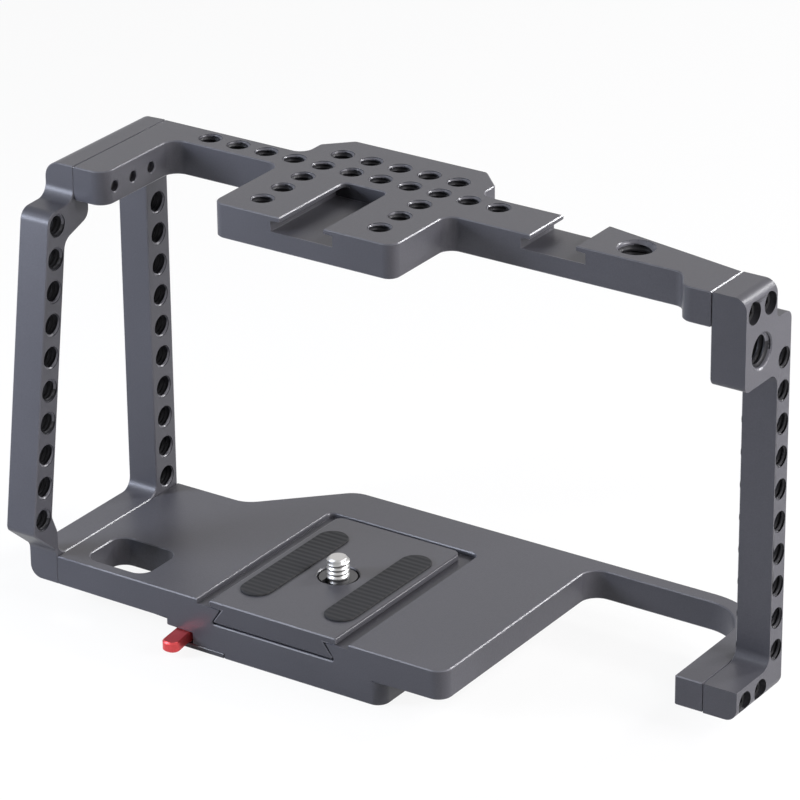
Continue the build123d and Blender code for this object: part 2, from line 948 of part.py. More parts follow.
def countersunk_cut(x, y):
    r = cover_screw_d / 2 + cover_screw_gap
    big = cover_head_d / 2 + cover_head_gap
    profile = [
        (0, -over),
        (big, -over),
        (big, cover_head_sink),
        (r, cover_head_h + cover_head_gap),
        (r, cover_t + over),
        (0, cover_t + over),
    ]
    return turned(profile, (x, y, 0), up_way)


def make_cover_screw(x, y):
    r = cover_screw_d / 2
    big = cover_head_d / 2
    sunk = cover_head_sink
    tip = cover_screw_length
    profile = [(0, sunk), (big, sunk), (r, cover_head_h), (r, tip), (0, tip)]
    screw = turned(profile, (x, y, 0), up_way)
    hexagon = Plane(origin=(x, y, 0)) * RegularPolygon(cover_hex / math.sqrt(3), 6)
    return screw - extrude(hexagon, cover_hex_depth, dir=up_way)


def make_pivot_pin():
    length = strap_pocket_top + pivot_grip - bore_end_gap - cover_t
    return rod(pivot_d, length, (pivot_x, pivot_y, cover_t), up_way)


def make_lever_washer():
    washer = rod(washer_d, washer_t, (pivot_x, pivot_y, cover_t), up_way)
    bore_start = (pivot_x, pivot_y, cover_t - over)
    return washer - rod(pivot_d + 2 * washer_play, washer_t + 2 * over, bore_start, up_way)


# ---------------------------------------------------------------- all nodes
nodes = {
    "top_plate": make_top_plate(),
    "left_bracket": make_left_bracket(),
    "right_bracket": make_right_bracket(),
    "base_plate": make_base_plate(),
    "release_plate": make_release_plate(),
    "release_pad_left": make_release_pad(-1),
    "release_pad_right": make_release_pad(1),
    "camera_screw": make_camera_screw(),
    "camera_screw_ring": make_screw_ring(),
    "camera_screw_clip": make_screw_clip(),
    "lock_lever": make_lock_lever(),
    "lock_jaw": make_lock_jaw(),
    "lever_pivot_pin": make_pivot_pin(),
    "lever_washer": make_lever_washer(),
    "lever_cover": make_lever_cover(),
}
for i, spot in enumerate(cover_screw_at):
    nodes[f"lever_cover_screw_{i + 1}"] = make_cover_screw(*spot)
joint_screws = {
    "top_left_screw": (top_left_at, right_way, joint_thread_length, left_plate),
    "base_left_screw": (base_left_at, right_way, foot_thread_length, left_plate),
    "top_right_screw": (top_right_at, left_way, joint_thread_length, right_plate),
    "base_right_screw": (base_right_at, left_way, foot_thread_length, right_plate),
}
for name, (places, way, thread, plate_t) in joint_screws.items():
    for i, spot in enumerate(places):
        nodes[f"{name}_{i + 1}"] = cap_screw(spot, way, thread, plate_t)

for name, shape in nodes.items():
    export_step(shape, f"parts/{name}.step")
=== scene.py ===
"""Camera cage: looks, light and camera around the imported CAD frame.

Metres, +Z up, +Y towards the lens.
"""

import math
from collections import namedtuple

import bmesh
import bpy
from bpy.props import FloatProperty, FloatVectorProperty, IntProperty, PointerProperty
from mathutils import Matrix, Vector


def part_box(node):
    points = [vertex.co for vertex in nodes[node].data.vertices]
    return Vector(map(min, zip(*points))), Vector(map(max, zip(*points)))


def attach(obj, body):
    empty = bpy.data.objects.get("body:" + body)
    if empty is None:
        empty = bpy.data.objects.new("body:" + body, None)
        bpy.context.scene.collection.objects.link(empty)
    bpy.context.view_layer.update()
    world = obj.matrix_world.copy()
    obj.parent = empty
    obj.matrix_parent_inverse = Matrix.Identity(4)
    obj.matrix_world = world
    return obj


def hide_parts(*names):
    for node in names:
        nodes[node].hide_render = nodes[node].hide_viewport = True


bl_info = {
    "name": "Camera Cage",
    "version": (1, 0, 0),
    "blender": (4, 5, 0),
    "location": "View3D > Sidebar > Cage",
    "description": "Machined and anodised looks for a camera cage with a quick-release plate",
    "category": "Object",
}

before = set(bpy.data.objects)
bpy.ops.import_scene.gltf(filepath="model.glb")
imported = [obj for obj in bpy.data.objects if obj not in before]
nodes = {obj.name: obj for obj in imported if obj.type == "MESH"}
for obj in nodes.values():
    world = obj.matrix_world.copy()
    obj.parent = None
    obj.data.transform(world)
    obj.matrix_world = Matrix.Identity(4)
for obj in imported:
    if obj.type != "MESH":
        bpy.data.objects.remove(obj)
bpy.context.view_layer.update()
MM = 0.001


# ---------------------------------------------------------------- settings
class CageFinish(bpy.types.PropertyGroup):
    """Colours and roughnesses of the cage's finishes"""

    anodised: FloatVectorProperty(
        name="Anodised", description="Dark grey anodised plates",
        subtype="COLOR", size=3, default=(0.06, 0.0595, 0.068),
    )
    anodised_rough: FloatProperty(
        name="Anodised roughness", description="How matt the blasting leaves the plates",
        default=0.37, min=0, max=1,
    )
    red: FloatVectorProperty(
        name="Red", description="Red anodised lock lever",
        subtype="COLOR", size=3, default=(0.62, 0.07, 0.075),
    )
    steel: FloatVectorProperty(
        name="Steel", description="Turned stainless steel",
        subtype="COLOR", size=3, default=(0.42, 0.415, 0.41),
    )
    oxide: FloatVectorProperty(
        name="Black oxide", description="Blackened screws",
        subtype="COLOR", size=3, default=(0.05, 0.05, 0.052),
    )
    rubber: FloatVectorProperty(
        name="Rubber", description="Strips under the camera",
        subtype="COLOR", size=3, default=(0.018, 0.018, 0.019),
    )


class CageDetail(bpy.types.PropertyGroup):
    """Sizes of the machined details that the CAD solids leave plain"""

    edge_break: FloatProperty(
        name="Edge break", description="Width of the chamfer on the plates' edges",
        default=0.28 * MM, unit="LENGTH",
    )
    mouth: FloatProperty(
        name="Hole mouth", description="How far a threaded hole's 45 degree mouth widens it",
        default=0.6 * MM, unit="LENGTH",
    )
    narrow_mouth: FloatProperty(
        name="Narrow hole mouth", description="The same in the right bracket's slim column",
        default=0.27 * MM, unit="LENGTH",
    )
    large_mouth: FloatProperty(
        name="Large hole mouth", description="The same for the four 3/8 inch holes",
        default=1.13 * MM, unit="LENGTH",
    )
    thread_steps: IntProperty(
        name="Thread steps", description="Facets in one turn of a thread",
        default=28, min=12, max=64,
    )


class CageStage(bpy.types.PropertyGroup):
    """Where the camera stands"""

    azimuth: FloatProperty(
        name="Azimuth", description="Camera to the right of straight behind",
        default=math.radians(34.072), subtype="ANGLE",
    )
    elevation: FloatProperty(
        name="Elevation", description="Camera above the floor's plane",
        default=math.radians(24.57), subtype="ANGLE",
    )
    roll: FloatProperty(
        name="Roll", description="Camera turned about its own view",
        default=math.radians(-0.58), subtype="ANGLE",
    )
    distance: FloatProperty(
        name="Distance", description="Camera from the point it aims at",
        default=1.169, unit="LENGTH",
    )
    aim: FloatVectorProperty(
        name="Aim", description="Point in the middle of the view",
        subtype="TRANSLATION", size=3, default=(-0.003727, 0.002, 0.069681),
    )
    lens: FloatProperty(
        name="Lens", description="Focal length in millimetres",
        default=202.0, min=20, max=400,
    )


def finish():
    return bpy.context.scene.cage_finish


def detail():
    return bpy.context.scene.cage_detail


def studio():
    return bpy.context.scene.cage_stage


# ---------------------------------------------------------------- shader maths
class Field:
    """A shader socket with arithmetic; each sum or product on it adds one Math node."""

    def __init__(self, shader, socket):
        self.shader = shader
        self.socket = socket

    def _math(self, operation, other):
        return self.shader.node("ShaderNodeMath", {"operation": operation}, {0: self, 1: other})

    def __add__(self, other):
        return self._math("ADD", other)

    def __mul__(self, other):
        return self._math("MULTIPLY", other)

    __radd__ = __add__
    __rmul__ = __mul__


class Shader:
    """Builds one node material around a Principled surface."""

    def __init__(self, name):
        self.material = bpy.data.materials.new(name)
        self.material.use_nodes = True
        self.tree = self.material.node_tree
        self.surface = self.tree.nodes["Principled BSDF"]

    def node(self, kind, settings=None, inputs=None, output=0):
        """Adds a node, sets it up, fills or links its sockets, and returns one output."""
        made = self.tree.nodes.new(kind)
        for key, value in (settings or {}).items():
            setattr(made, key, value)
        for key, value in (inputs or {}).items():
            self.feed(made.inputs[key], value)
        return Field(self, made.outputs[output])

    def feed(self, socket, value):
        if isinstance(value, Field):
            self.tree.links.new(value.socket, socket)
        else:
            socket.default_value = value

    def set(self, **values):
        for key, value in values.items():
            self.feed(self.surface.inputs[key.replace("_", " ")], value)

    def place(self):
        return self.node("ShaderNodeTexCoord", output="Object")

    def noise(self, scale, octaves, rough):
        inputs = {"Vector": self.place(), "Scale": scale, "Detail": octaves, "Roughness": rough}
        return self.node("ShaderNodeTexNoise", None, inputs)

    def mix(self, factor, first, second):
        """Colour between two colours; the Mix node's colour sockets go by number."""
        return self.node("ShaderNodeMix", {"data_type": "RGBA"}, {0: factor, 6: first, 7: second}, output=2)

    def bump(self, height, strength, distance):
        inputs = {"Height": height, "Strength": strength, "Distance": distance}
        return self.node("ShaderNodeBump", None, inputs)


def shade(colour, factor):
    return (colour[0] * factor, colour[1] * factor, colour[2] * factor, 1.0)


def anodised_material(name, factor=1.0, rough_shift=0.0, grain=2600.0, specular=0.2):
    """Bead-blasted aluminium, anodised dark grey: fine grain, a soft sheen and faint clouding."""
    s = Shader(name)
    colour = finish().anodised
    # factor scales the whole colour; the plates' edge copy is lightened by it as a painted highlight and
    # the inside copy darkened by it as painted shade
    darkest, lightest = 0.72 * factor, 1.3 * factor
    grain_field = s.noise(grain, 3.0, 0.6)
    clouds = s.noise(45.0, 3.0, 0.55)
    tone = grain_field * 0.7 + clouds * 0.3
    s.set(
        Base_Color=s.mix(tone, shade(colour, darkest), shade(colour, lightest)),
        Roughness=clouds * 0.08 + (finish().anodised_rough - 0.04 + rough_shift),
        Metallic=0.1,
        Specular_IOR_Level=specular,
        Normal=s.bump(grain_field, 0.16, 0.0002),
    )
    return s.material


def grained_metal(name, colour, grain, tones, rough, metallic, relief):
    """Metal whose fine grain shows in its colour, its roughness and its relief.

    grain is the noise's scale, octaves and roughness, tones the darkest and lightest share of
    the colour, rough the spread and the least roughness, relief the bump's strength and height.
    """
    s = Shader(name)
    marks = s.noise(*grain)
    darkest, lightest = tones
    spread, least = rough
    s.set(
        Base_Color=s.mix(marks, shade(colour, darkest), shade(colour, lightest)),
        Roughness=marks * spread + least,
        Metallic=metallic,
        Normal=s.bump(marks, *relief),
    )
    return s.material


def red_material():
    """Red anodised aluminium."""
    return grained_metal(
        "red_anodised", finish().red, grain=(2200.0, 3.0, 0.6), tones=(0.8, 1.15),
        rough=(0.08, 0.3), metallic=0.8, relief=(0.08, 0.0002),
    )


def steel_material():
    """Turned stainless steel with fine tool marks."""
    return grained_metal(
        "turned_steel", finish().steel, grain=(1800.0, 4.0, 0.7), tones=(0.85, 1.08),
        rough=(0.16, 0.3), metallic=1.0, relief=(0.06, 0.0001),
    )


def oxide_material():
    """Blackened steel screws."""
    return grained_metal(
        "black_oxide", finish().oxide, grain=(1500.0, 3.0, 0.6), tones=(0.8, 1.3),
        rough=(0.15, 0.28), metallic=0.8, relief=(0.05, 0.0001),
    )


def rubber_material():
    """Matt rubber strips, ribbed across."""
    s = Shader("ribbed_rubber")
    colour = finish().rubber
    grain = s.noise(1800.0, 2.0, 0.5)
    wave = {"bands_direction": "Y", "wave_profile": "SIN"}
    ribs = s.node("ShaderNodeTexWave", wave, {"Vector": s.place(), "Scale": 160.0}, output="Fac")
    s.set(
        Base_Color=s.mix(grain, shade(colour, 0.8), shade(colour, 1.5)),
        Roughness=grain * 0.15 + 0.68,
        Specular_IOR_Level=0.2,
        Normal=s.bump(ribs * 0.8 + grain * 0.2, 0.5, 0.0003),
    )
    return s.material


# ---------------------------------------------------------------- meshes
# Material slots of a piece, and the one that marks a rim filled for a while; on the plates the edge slot
# holds a painted highlight and the inside slot painted shade
BODY, EDGE, INSIDE_SHADE, PLUG = range(4)

AXES = {"X": Vector((1, 0, 0)), "Y": Vector((0, 1, 0)), "Z": Vector((0, 0, 1))}
PLATE_AXES = {"top_plate": "Z", "left_bracket": "X", "right_bracket": "X", "base_plate": "Z"}

# Threads of the holes, the mouth that the solids give a 3/8 inch hole, and the camera screw
QUARTER = {"minor": 2.6 * MM, "major": 3.175 * MM, "pitch": 1.27 * MM}
THREE_EIGHTHS = {"minor": 3.97 * MM, "major": 4.76 * MM, "pitch": 1.5875 * MM}
THREE_EIGHTHS_MOUTH = 5.1 * MM
SCREW = {"radius": 3.125 * MM, "point": 0.8 * MM}
CREST = (0.38, 0.62)
THREAD_START = 0.12 * MM
LEAST_DROP = 0.05 * MM

# Seat of a cap screw in a bracket: two radii, and the shoulder's depth
SEAT = {"head": 3.0 * MM, "shank": 1.7 * MM, "shoulder": 4.6 * MM}

# Widths of the broken edges of the small parts
BREAKS = {
    "release": 0.3 * MM, "pad": 0.2 * MM, "ring": 0.25 * MM,
    "lever": 0.4 * MM, "cover": 0.25 * MM, "screw": 0.3 * MM,
}

# An outline is an edge steeper than this; a plate's or a small part's face is larger than this
OUTLINE = math.radians(30)
PLATE_FACE = 3.0 * MM * MM
SMALL_FACE = 1.0 * MM * MM
FACING_SHARE = 0.45

# Play allowed when rims and walls are looked for
WELD = 0.002 * MM
THREAD_WELD = 0.003 * MM
LEVEL = math.radians(0.4)
CLOSE = 0.01 * MM
OUT_OF_ROUND = 0.03 * MM
REACH_PLAY = 0.05 * MM
MARGIN = 0.1 * MM
LEAST_CIRCLE = 12

Bore = namedtuple("Bore", "centre axis depth reach")


def merged_copy(node):
    """A bmesh of a CAD node with its loose triangles joined and flat areas dissolved."""
    bm = bmesh.new()
    bm.from_mesh(nodes[node].data)
    bmesh.ops.remove_doubles(bm, verts=bm.verts[:], dist=WELD)
    bmesh.ops.dissolve_limit(
        bm, angle_limit=LEVEL, verts=bm.verts[:], edges=bm.edges[:], use_dissolve_boundaries=False
    )
    return bm


def finished_piece(name, bm, materials, body, *replaced, smooth=20.0, slot=None):
    """Makes the bmesh an object that stands for CAD nodes and rides on their body."""
    mesh = bpy.data.meshes.new(name)
    bm.normal_update()
    bm.to_mesh(mesh)
    bm.free()
    for material in materials:
        mesh.materials.append(material)
    for polygon in mesh.polygons:
        polygon.use_smooth = True
    mesh.set_sharp_from_angle(angle=math.radians(smooth))
    piece = bpy.data.objects.new(name, mesh)
    bpy.context.scene.collection.objects.link(piece)
    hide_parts(*replaced)
    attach(piece, body)
    return piece


def sharp_loops(bm):
    """Groups of sharp edges that are joined to each other."""
    sharp = {e for e in bm.edges if len(e.link_faces) == 2 and abs(e.calc_face_angle(0.0)) > OUTLINE}
    loops = []
    seen = set()
    for start in bm.edges:
        if start not in sharp or start in seen:
            continue
        group = []
        stack = [start]
        seen.add(start)
        while stack:
            edge = stack.pop()
            group.append(edge)
            for vert in edge.verts:
                for other in vert.link_edges:
                    if other in sharp and other not in seen:
                        seen.add(other)
                        stack.append(other)
        loops.append(group)
    return loops


def circle_of(edges):
    """(centre, radius, unit normal) of a loop of edges, or None if it isn't a circle.

    The corners stay in the loop's order, so that the normal points the same way each run.
    """
    verts = list(dict.fromkeys(v for e in edges for v in e.verts))
    if len(verts) != len(edges) or len(verts) < LEAST_CIRCLE:
        return None
    centre = sum((v.co for v in verts), Vector()) / len(verts)
    reaches = [(v.co - centre).length for v in verts]
    radius = sum(reaches) / len(reaches)
    if max(reaches) - min(reaches) > OUT_OF_ROUND:
        return None
    first = verts[0].co - centre
    normal = max(((v.co - centre).cross(first) for v in verts), key=lambda n: n.length).normalized()
    return centre, radius, normal


def helix(root, crest, pitch, depth, gap):
    """Helical thread along +Z from z = gap to depth - gap, as an open bmesh tube."""
    bm = bmesh.new()
    steps = detail().thread_steps
    rows = ((root, 0.0), (crest, CREST[0]), (crest, CREST[1]), (root, 1.0))
    points = [bm.verts.new((r, 0.0, (t - 1.0) * pitch)) for r, t in rows]
    line = [bm.edges.new(pair) for pair in zip(points, points[1:])]
    turns = int(math.ceil(depth / pitch)) + 1
    bmesh.ops.spin(
        bm,
        geom=points + line,
        cent=(0, 0, 0),
        axis=(0, 0, 1),
        dvec=(0, 0, pitch / steps),
        angle=2 * math.pi * turns,
        steps=steps * turns,
        use_merge=False,
        use_duplicate=False,
    )
    bmesh.ops.remove_doubles(bm, verts=bm.verts[:], dist=THREAD_WELD)
    for height, way in ((gap, -1), (depth - gap, 1)):
        everything = bm.verts[:] + bm.edges[:] + bm.faces[:]
        bmesh.ops.bisect_plane(
            bm, geom=everything, plane_co=(0, 0, height), plane_no=(0, 0, way), clear_outer=True
        )
    return bm


def thread_mesh(size, depth, mouth):
    """Inner thread, cut back by a 45 degree mouth at both ends."""
    bm = helix(size["major"], size["minor"], size["pitch"], depth, THREAD_START)
    for v in bm.verts:
        near = min(v.co.z, depth - v.co.z)
        reach = math.hypot(v.co.x, v.co.y)
        wanted = max(reach, size["minor"] + mouth - near)
        v.co.x *= wanted / reach
        v.co.y *= wanted / reach
    # The mouth's faces get the edge slot, a painted highlight, and the deeper thread the inside slot,
    # painted shade
    for face in bm.faces:
        centre = face.calc_center_median()
        face.material_index = EDGE if min(centre.z, depth - centre.z) < mouth else INSIDE_SHADE
        if face.normal.x * centre.x + face.normal.y * centre.y > 0:
            face.normal_flip()
    mesh = bpy.data.meshes.new("thread")
    bm.to_mesh(mesh)
    bm.free()
    return mesh


def off_axis(point, centre, axis):
    """Distance of a point from the line through the centre along the axis."""
    out = point - centre
    return (out - axis * out.dot(axis)).length


def in_bore(bore, point, verts):
    """Whether a point lies between a bore's ends, with all the corners near its wall."""
    along = (point - bore.centre).dot(bore.axis)
    if not -MARGIN < along < bore.depth + MARGIN:
        return False
    return all(off_axis(v.co, bore.centre, bore.axis) < bore.reach for v in verts)


def clear_bore(bm, bore):
    """Takes away a bore's wall, so that its two rims are open."""
    wall = [f for f in bm.faces if in_bore(bore, f.calc_center_median(), f.verts)]
    bmesh.ops.delete(bm, geom=wall, context="FACES")


def open_rims(bm, bore):
    """The open edges of a bore at its near and its far end."""
    ends = ([], [])
    for edge in bm.edges:
        middle = (edge.verts[0].co + edge.verts[1].co) / 2
        if len(edge.link_faces) == 1 and in_bore(bore, middle, edge.verts):
            along = (middle - bore.centre).dot(bore.axis)
            ends[0 if along < bore.depth / 2 else 1].append(edge)
    return ends


def plug(bm, edges):
    """Fills an open rim for a while, so that it doesn't count as an outline."""
    for face in bmesh.ops.contextual_create(bm, geom=edges)["faces"]:
        face.material_index = PLUG


def step_in(bm, edges, bore, place, radius):
    """Extrudes a rim to a radius at a distance along the bore, and returns the new rim."""
    made = bmesh.ops.extrude_edge_only(bm, edges=edges)["geom"]
    inner = {g for g in made if isinstance(g, bmesh.types.BMVert)}
    for v in inner:
        out = v.co - bore.centre
        out -= bore.axis * out.dot(bore.axis)
        v.co = bore.centre + bore.axis * place + out.normalized() * radius
    return [g for g in made if isinstance(g, bmesh.types.BMEdge) and set(g.verts) <= inner]


def threaded_wall(bm, bore, size, mouth, threads):
    """Opens both rims to the mouth, walls the hole at the thread's root and lays the thread in."""
    opened = size["minor"] + mouth
    drop = max(opened - size["major"], LEAST_DROP)
    ends = []
    for edges, place in zip(open_rims(bm, bore), (drop, bore.depth - drop)):
        for v in {v for e in edges for v in e.verts}:
            foot = bore.centre + bore.axis * (v.co - bore.centre).dot(bore.axis)
            v.co = foot + (v.co - foot).normalized() * opened
        ends += step_in(bm, edges, bore, place, size["major"])
    # The wall at the thread's root takes the inside slot, painted shade
    for face in bmesh.ops.bridge_loops(bm, edges=ends)["faces"]:
        face.material_index = INSIDE_SHADE
    key = (size["minor"], round(bore.depth, 5), mouth)
    if key not in threads:
        threads[key] = thread_mesh(size, bore.depth, mouth)
    turn = bore.axis.to_track_quat("Z", "X").to_matrix().to_4x4()
    before = set(bm.verts)
    bm.from_mesh(threads[key])
    added = [v for v in bm.verts if v not in before]
    bmesh.ops.transform(bm, matrix=Matrix.Translation(bore.centre) @ turn, verts=added)


def screw_wall(bm, bore):
    """Walls a screw's seat: down to the head's shoulder, in to the shank, through to the seam."""
    near, far = open_rims(bm, bore)
    wide = step_in(bm, near, bore, SEAT["shoulder"], SEAT["head"])
    narrow = step_in(bm, wide, bore, SEAT["shoulder"], SEAT["shank"])
    bmesh.ops.bridge_loops(bm, edges=narrow + far)
    # The seat's walls take the inside slot, painted shade
    for face in {f for e in wide + narrow for v in e.verts for f in v.link_faces}:
        face.material_index = INSIDE_SHADE


def threaded_end(bm, middle):
    """Lays an outer thread with a 45 degree point over the plain end of an upright screw."""
    thread_r, point = SCREW["radius"], SCREW["point"]
    on_wall = [v for v in bm.verts if abs(off_axis(v.co, middle, AXES["Z"]) - thread_r) < CLOSE]
    levels = sorted({round(v.co.z, 6) for v in on_wall})
    start, tip = levels[-2], max(v.co.z for v in bm.verts)
    plain = [f for f in bm.faces if f.calc_center_median().z > start + REACH_PLAY]
    bmesh.ops.delete(bm, geom=plain, context="FACES")
    rim = [e for e in bm.edges if len(e.link_faces) == 1]
    length = tip - start
    thread = helix(QUARTER["minor"], thread_r, QUARTER["pitch"], length, 0.0)
    for v in thread.verts:
        reach = math.hypot(v.co.x, v.co.y)
        wanted = min(max(reach, thread_r - v.co.z), thread_r - point + (length - v.co.z))
        v.co.x *= wanted / reach
        v.co.y *= wanted / reach
        v.co += Vector((middle.x, middle.y, start))
    mesh = bpy.data.meshes.new("screw_thread")
    thread.to_mesh(mesh)
    thread.free()
    before = set(bm.edges)
    bm.from_mesh(mesh)
    open_edges = [e for e in bm.edges if e not in before and len(e.link_faces) == 1]
    top = [e for e in open_edges if min(v.co.z for v in e.verts) > tip - CLOSE]
    low = [e for e in open_edges if max(v.co.z for v in e.verts) < start + CLOSE]
    bmesh.ops.contextual_create(bm, geom=top)
    bmesh.ops.bridge_loops(bm, edges=rim + low)
    bmesh.ops.recalc_face_normals(bm, faces=bm.faces[:])


def plugged(edge):
    return any(face.material_index == PLUG for face in edge.link_faces)


def smooth_regions(bm):
    """Groups of faces that meet only in edges flatter than an outline, or round a plug."""
    seen = set()
    for start in bm.faces:
        if start in seen:
            continue
        group, stack = [], [start]
        seen.add(start)
        while stack:
            face = stack.pop()
            group.append(face)
            for edge in face.edges:
                if len(edge.link_faces) != 2:
                    continue
                if not plugged(edge) and edge.calc_face_angle(0.0) >= OUTLINE:
                    continue
                for other in edge.link_faces:
                    if other not in seen:
                        seen.add(other)
                        stack.append(other)
        yield group


def spot(vert):
    return tuple(round(c, 7) for c in vert.co)


def break_edges(bm, axis, width, least_area):
    """Chamfers the convex outlines of the faces that look along the axis."""
    regions = []
    for group in smooth_regions(bm):
        area = sum(f.calc_area() for f in group)
        facing = sum(f.calc_area() * abs(f.normal.dot(axis)) for f in group)
        if area > least_area and facing > FACING_SHARE * area:
            regions.append(group)
    for group in regions:
        inside = set(group)
        pushes = {}
        for v in {v for f in group for v in f.verts}:
            rims = [e for e in v.link_edges if not plugged(e) and e.calc_face_angle(0.0) > OUTLINE]
            if rims and all(e.calc_face_angle_signed(0.0) > 0 for e in rims):
                own = [f for f in v.link_faces if f in inside]
                normal = sum((f.normal * f.calc_area() for f in own), Vector())
                pushes[spot(v)] = normal.normalized() * -width
        band = bmesh.ops.inset_region(
            bm, faces=group, use_boundary=True, use_even_offset=True, use_interpolate=False,
            thickness=width, depth=0.0,
        )
        # The chamfer bands take the edge slot; where it holds the lighter anodised copy, the band is a
        # painted highlight
        for face in band["faces"]:
            face.material_index = EDGE
        for v in bm.verts:
            push = pushes.get(spot(v))
            if push:
                v.co += push


def is_rim(circle, *radii):
    return any(abs(circle[1] - radius) < MARGIN for radius in radii)


def threaded_holes(bm, small_mouth):
    """(bore, thread size, mouth) of each threaded through hole."""
    circles = [found for edges in sharp_loops(bm) for found in [circle_of(edges)] if found]
    small = [c for c in circles if is_rim(c, QUARTER["minor"])]
    large = [c for c in circles if is_rim(c, THREE_EIGHTHS["minor"], THREE_EIGHTHS_MOUTH)]
    kinds = ((small, QUARTER, small_mouth), (large, THREE_EIGHTHS, detail().large_mouth))
    for rims, size, mouth in kinds:
        while rims:
            centre, radius, axis = rims.pop()
            line = [c for c in rims if off_axis(c[0], centre, axis) < MARGIN]
            rims = [c for c in rims if off_axis(c[0], centre, axis) >= MARGIN]
            line.append((centre, radius, axis))
            line.sort(key=lambda c: c[0].dot(axis))
            if len(line) > 1:
                first, last = line[0][0], line[-1][0]
                reach = max(c[1] for c in line) + REACH_PLAY
                yield Bore(first, axis, (last - first).length, reach), size, mouth


def frame_screws():
    """The nodes of the cap screws that hold the plates together."""
    names = (n for n in sorted(nodes) if "_screw_" in n and n[-1].isdigit())
    return [n for n in names if not n.startswith("lever")]


def screw_seats(plate):
    """The bore of each screw seat in a bracket, from the screws that sit in it."""
    low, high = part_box(plate)
    outward = 1 if high.x > 0 else -1
    face_x = high.x if outward > 0 else low.x
    for node in frame_screws():
        head_low, head_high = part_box(node)
        middle = (head_low + head_high) / 2
        if middle.x * outward > 0:
            centre = Vector((face_x, middle.y, middle.z))
            yield Bore(centre, Vector((-outward, 0, 0)), high.x - low.x, SEAT["head"] + REACH_PLAY)


def machined_plate(node, name, materials, threads):
    """The plate with threaded holes and broken edges."""
    bm = merged_copy(node)
    small_mouth = detail().narrow_mouth if node == "right_bracket" else detail().mouth
    holes = list(threaded_holes(bm, small_mouth))
    seats = list(screw_seats(node)) if node.endswith("bracket") else []
    for bore in [hole[0] for hole in holes] + seats:
        clear_bore(bm, bore)
        for edges in open_rims(bm, bore):
            plug(bm, edges)
    bmesh.ops.recalc_face_normals(bm, faces=bm.faces[:])
    break_edges(bm, AXES[PLATE_AXES[node]], detail().edge_break, PLATE_FACE)
    plugs = [f for f in bm.faces if f.material_index == PLUG]
    bmesh.ops.delete(bm, geom=plugs, context="FACES_ONLY")
    for bore in seats:
        screw_wall(bm, bore)
    for bore, size, mouth in holes:
        threaded_wall(bm, bore, size, mouth, threads)
    return finished_piece(name, bm, materials, "cage", node, slot="anodised")


def broken_copy(node, name, materials, body, slot, axis, width, smooth=20.0):
    """A small part with the outlines of its end faces broken."""
    bm = merged_copy(node)
    break_edges(bm, AXES[axis], width, SMALL_FACE)
    return finished_piece(name, bm, materials, body, node, smooth=smooth, slot=slot)


def paint(node, material):
    """A CAD node whose shape is right gets a finish."""
    for slot in nodes[node].material_slots:
        slot.material = material


# ---------------------------------------------------------------- operators
class CAGE_OT_plates(bpy.types.Operator):
    """Machine the four plates of the frame: threads, hole mouths and broken edges"""

    bl_idname = "cage.plates"
    bl_label = "Frame plates"

    def execute(self, context):
        blasted = anodised_material("blasted_anodised")
        # Lighter, glossier copy for the chamfer bands and hole mouths: its lighter colour is a painted
        # highlight
        edge = anodised_material("anodised_edge_painted_highlight", factor=1.5, rough_shift=-0.07, specular=0.35)
        # Darker copy for the hole walls, threads and screw seats: painted shade in the recesses
        inside = anodised_material("anodised_inside_painted_shade", factor=0.35, rough_shift=0.1)
        threads = {}
        for node in PLATE_AXES:
            machined_plate(node, "machined_" + node, (blasted, edge, inside), threads)
        return {"FINISHED"}


class CAGE_OT_release(bpy.types.Operator):
    """Finish the quick-release plate, its rubber strips, the camera screw and its ring"""

    bl_idname = "cage.release"
    bl_label = "Quick release"

    def execute(self, context):
        milled = anodised_material("milled_anodised", factor=0.9, rough_shift=-0.06, grain=3200.0)
        # The release plate's broken edges take the lighter copy, a painted highlight
        edge = bpy.data.materials["anodised_edge_painted_highlight"]
        broken_copy(
            "release_plate", "finished_release_plate", (milled, edge),
            "release", "anodised_plate", "Y", BREAKS["release"],
        )
        rubber = rubber_material()
        for side in ("left", "right"):
            broken_copy(
                f"release_pad_{side}", f"ribbed_pad_{side}", (rubber, rubber),
                "release", "rubber", "Z", BREAKS["pad"],
            )
        steel = steel_material()
        screw = merged_copy("camera_screw")
        low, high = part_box("camera_screw")
        threaded_end(screw, (low + high) / 2)
        finished_piece(
            "threaded_camera_screw", screw, (steel,), "screw", "camera_screw", slot="steel"
        )
        broken_copy(
            "camera_screw_ring", "flat_screw_ring", (steel, steel),
            "ring", "steel", "Z", BREAKS["ring"],
        )
        paint("camera_screw_clip", oxide_material())
        return {"FINISHED"}


class CAGE_OT_lock(bpy.types.Operator):
    """Finish the lock lever, its jaw, pin, washer and cover"""

    bl_idname = "cage.lock"
    bl_label = "Lock"

    def execute(self, context):
        red = red_material()
        broken_copy(
            "lock_lever", "red_lock_lever", (red, red),
            "lever", "red", "Z", BREAKS["lever"], smooth=32.0,
        )
        for node in ("lock_jaw", "lever_pivot_pin", "lever_washer"):
            paint(node, bpy.data.materials["turned_steel"])
        milled = bpy.data.materials["milled_anodised"]
        # The cover's broken edges take the lighter copy, a painted highlight
        edge = bpy.data.materials["anodised_edge_painted_highlight"]
        broken_copy(
            "lever_cover", "milled_lever_cover", (milled, edge),
            "cage", "anodised_plate", "Z", BREAKS["cover"],
        )
        return {"FINISHED"}


class CAGE_OT_fasteners(bpy.types.Operator):
    """Blacken the screws that hold the plates and the cover together"""

    bl_idname = "cage.fasteners"
    bl_label = "Fasteners"

    def execute(self, context):
        oxide = bpy.data.materials["black_oxide"]
        for node in frame_screws():
            broken_copy(
                node, "blackened_" + node, (oxide, oxide),
                "cage", "black_steel", "X", BREAKS["screw"],
            )
        for node in ("lever_cover_screw_1", "lever_cover_screw_2"):
            paint(node, oxide)
        return {"FINISHED"}


